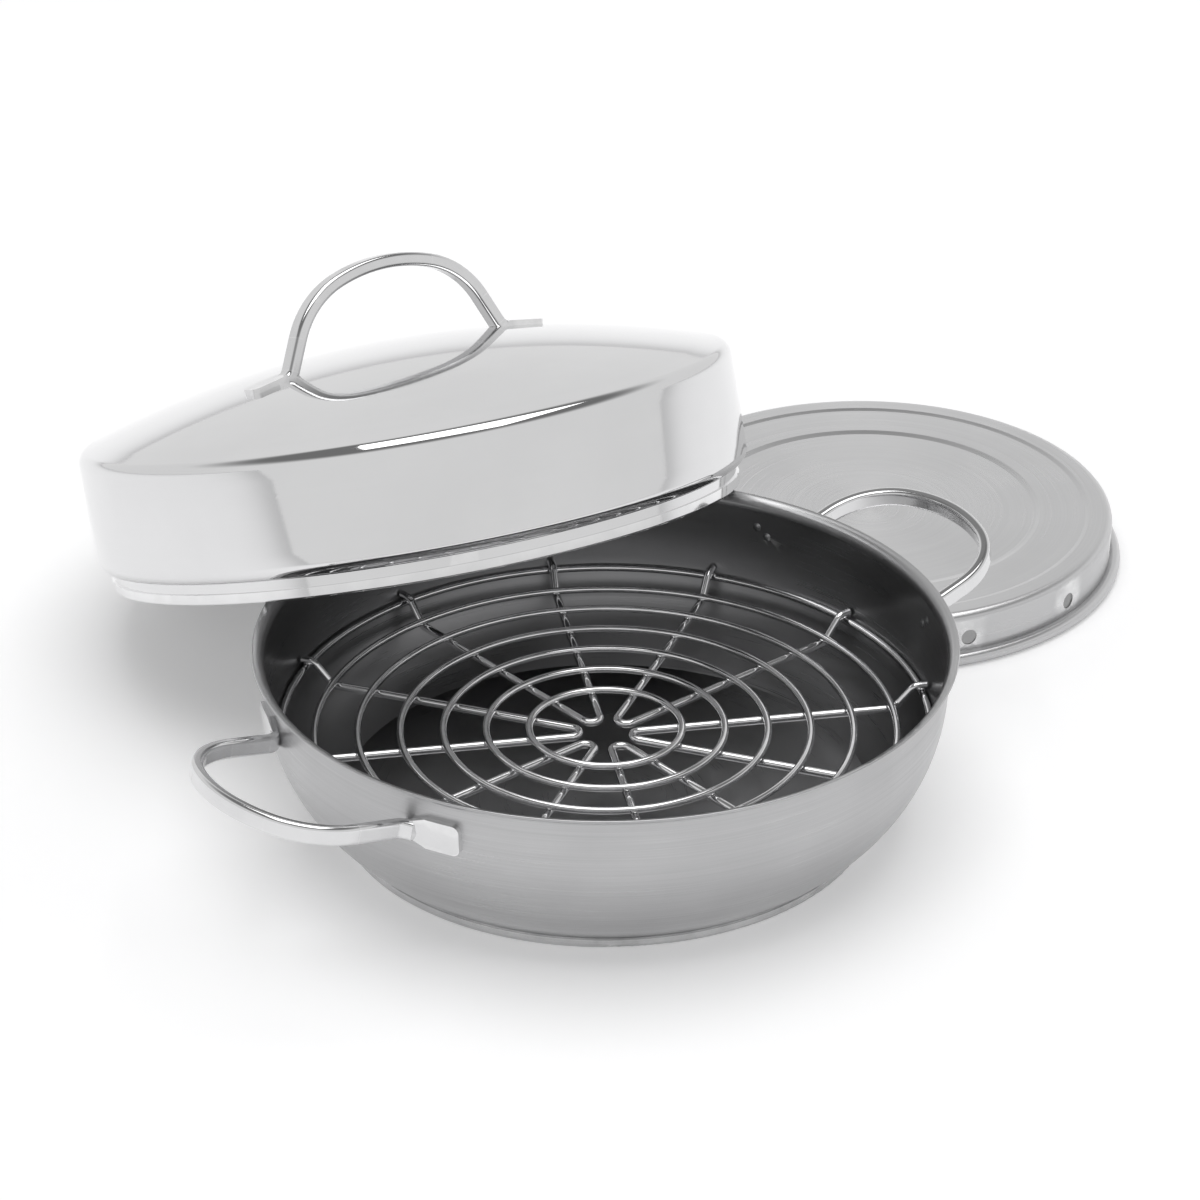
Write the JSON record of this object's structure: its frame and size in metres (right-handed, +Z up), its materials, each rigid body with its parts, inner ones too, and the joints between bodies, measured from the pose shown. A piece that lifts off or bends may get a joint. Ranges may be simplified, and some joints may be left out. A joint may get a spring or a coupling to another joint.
{
  "type": "stovetop smoker",
  "caption": "Round stainless stovetop smoker: curved pan with strap handles, wire rack, drilled drip disc and tall domed lid with arch handle.",
  "frame": {"origin": "centre of the pan's base on the table", "axes": "+Z up, -Y towards the viewer, +X to the viewer's right; the handle pair lies 39 degrees from X"},
  "size_m": [0.4477, 0.4672, 0.1603],
  "materials": {
    "brushed_pan": "brushed round the axis, satin, darker inside",
    "brushed_base": "fine turned satin",
    "aluminium_core": "bare cut edge",
    "polished_strap": "polished stainless steel",
    "polished_wire": "electropolished stainless wire",
    "polished_lid": "mirror-polished stainless steel",
    "satin_disc": "soft satin"
  },
  "bodies": {
    "pan": {"pan_shell": "brushed_pan", "base_core": "aluminium_core", "base_cap": "brushed_base", "handle_left": "polished_strap", "handle_right": "polished_strap"},
    "rack": {"ring_1": "polished_wire", "ring_2": "polished_wire", "ring_3": "polished_wire", "ring_4": "polished_wire", "ring_5": "polished_wire", "ring_6": "polished_wire", "ring_7": "polished_wire", "hairpin_1": "polished_wire", "hairpin_2": "polished_wire", "hairpin_3": "polished_wire", "hairpin_4": "polished_wire", "hairpin_5": "polished_wire", "hairpin_6": "polished_wire"},
    "lid": {"lid_shell": "polished_lid", "lid_rim": "polished_lid", "lid_handle": "polished_strap"},
    "disc": {"drip_disc": "satin_disc"}
  },
  "joints": [
    {"name": "rack_lift", "type": "slide", "parent": "pan", "child": "rack", "axis": [0, 0, 1], "range_m": [0, 0.034]},
    {"name": "lid_lift", "type": "slide", "parent": "pan", "child": "lid", "axis": [0, 0, 1], "range_m": [0, 0.2]},
    {"name": "disc_draw", "type": "slide", "parent": "pan", "child": "disc", "axis": [0.809, 0.5878, 0], "range_m": [0, 0.2]}
  ]
}
